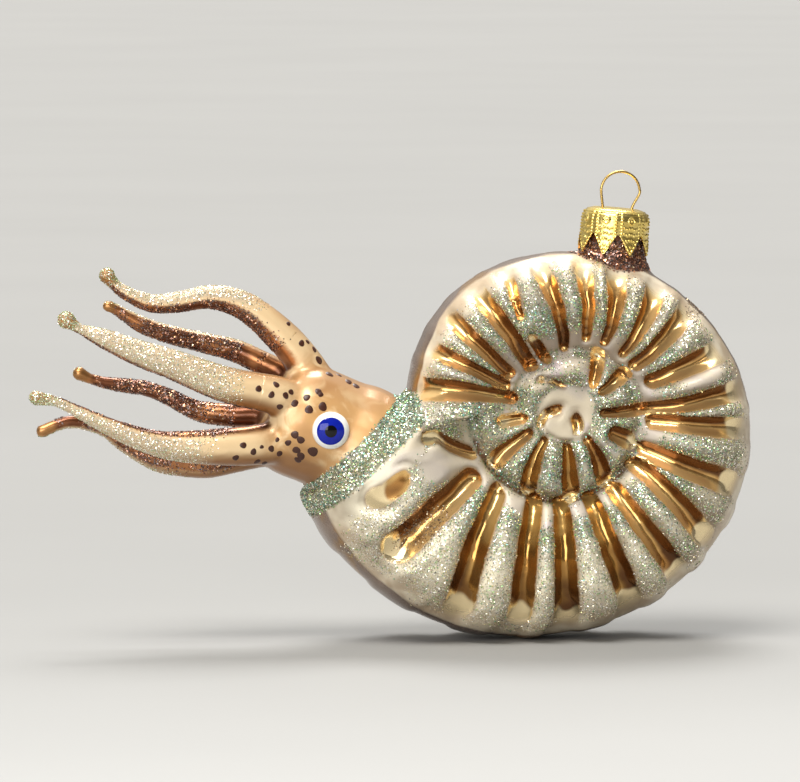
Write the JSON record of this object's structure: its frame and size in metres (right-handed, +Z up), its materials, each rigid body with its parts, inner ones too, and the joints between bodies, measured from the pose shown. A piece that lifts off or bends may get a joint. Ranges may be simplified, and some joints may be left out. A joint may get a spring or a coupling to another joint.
{
  "type": "blown-glass ammonite hanging ornament",
  "caption": "Hanging ornament of silvered blown glass: a coiled ribbed shell with a squid-like head, curling tentacles, glued domed eyes, a crown cap and a wire loop.",
  "frame": {"origin": "inside top of the wire loop, where the ornament hangs", "axes": "+X along the ornament's length, from the tentacle tips to the back of the coil; +Y through the coil's thickness; +Z up, along the hanging line"},
  "size_m": [0.1403, 0.033, 0.0899],
  "materials": {
    "shell_glass": "silvered glass with transparent amber-gold lacquer, frosted lavender-white ribs and iridescent glitter",
    "tentacle_glass": "silvered glass with caramel lacquer, white and copper-brown glitter",
    "eye_glass": "glossy white glass with a blue iris and black pupil",
    "cap_metal": "bright stamped gold-coloured sheet",
    "wire_metal": "polished drawn wire"
  },
  "bodies": {
    "root": {"glass_body": "shell_glass", "tentacle_top": "tentacle_glass", "tentacle_far_upper": "tentacle_glass", "tentacle_near_upper": "tentacle_glass", "tentacle_far_lower": "tentacle_glass", "tentacle_near_lower": "tentacle_glass", "tentacle_bottom": "tentacle_glass", "eye_near": "eye_glass", "eye_far": "eye_glass", "cap": "cap_metal", "hanger_wire": "wire_metal"}
  },
  "joints": []
}
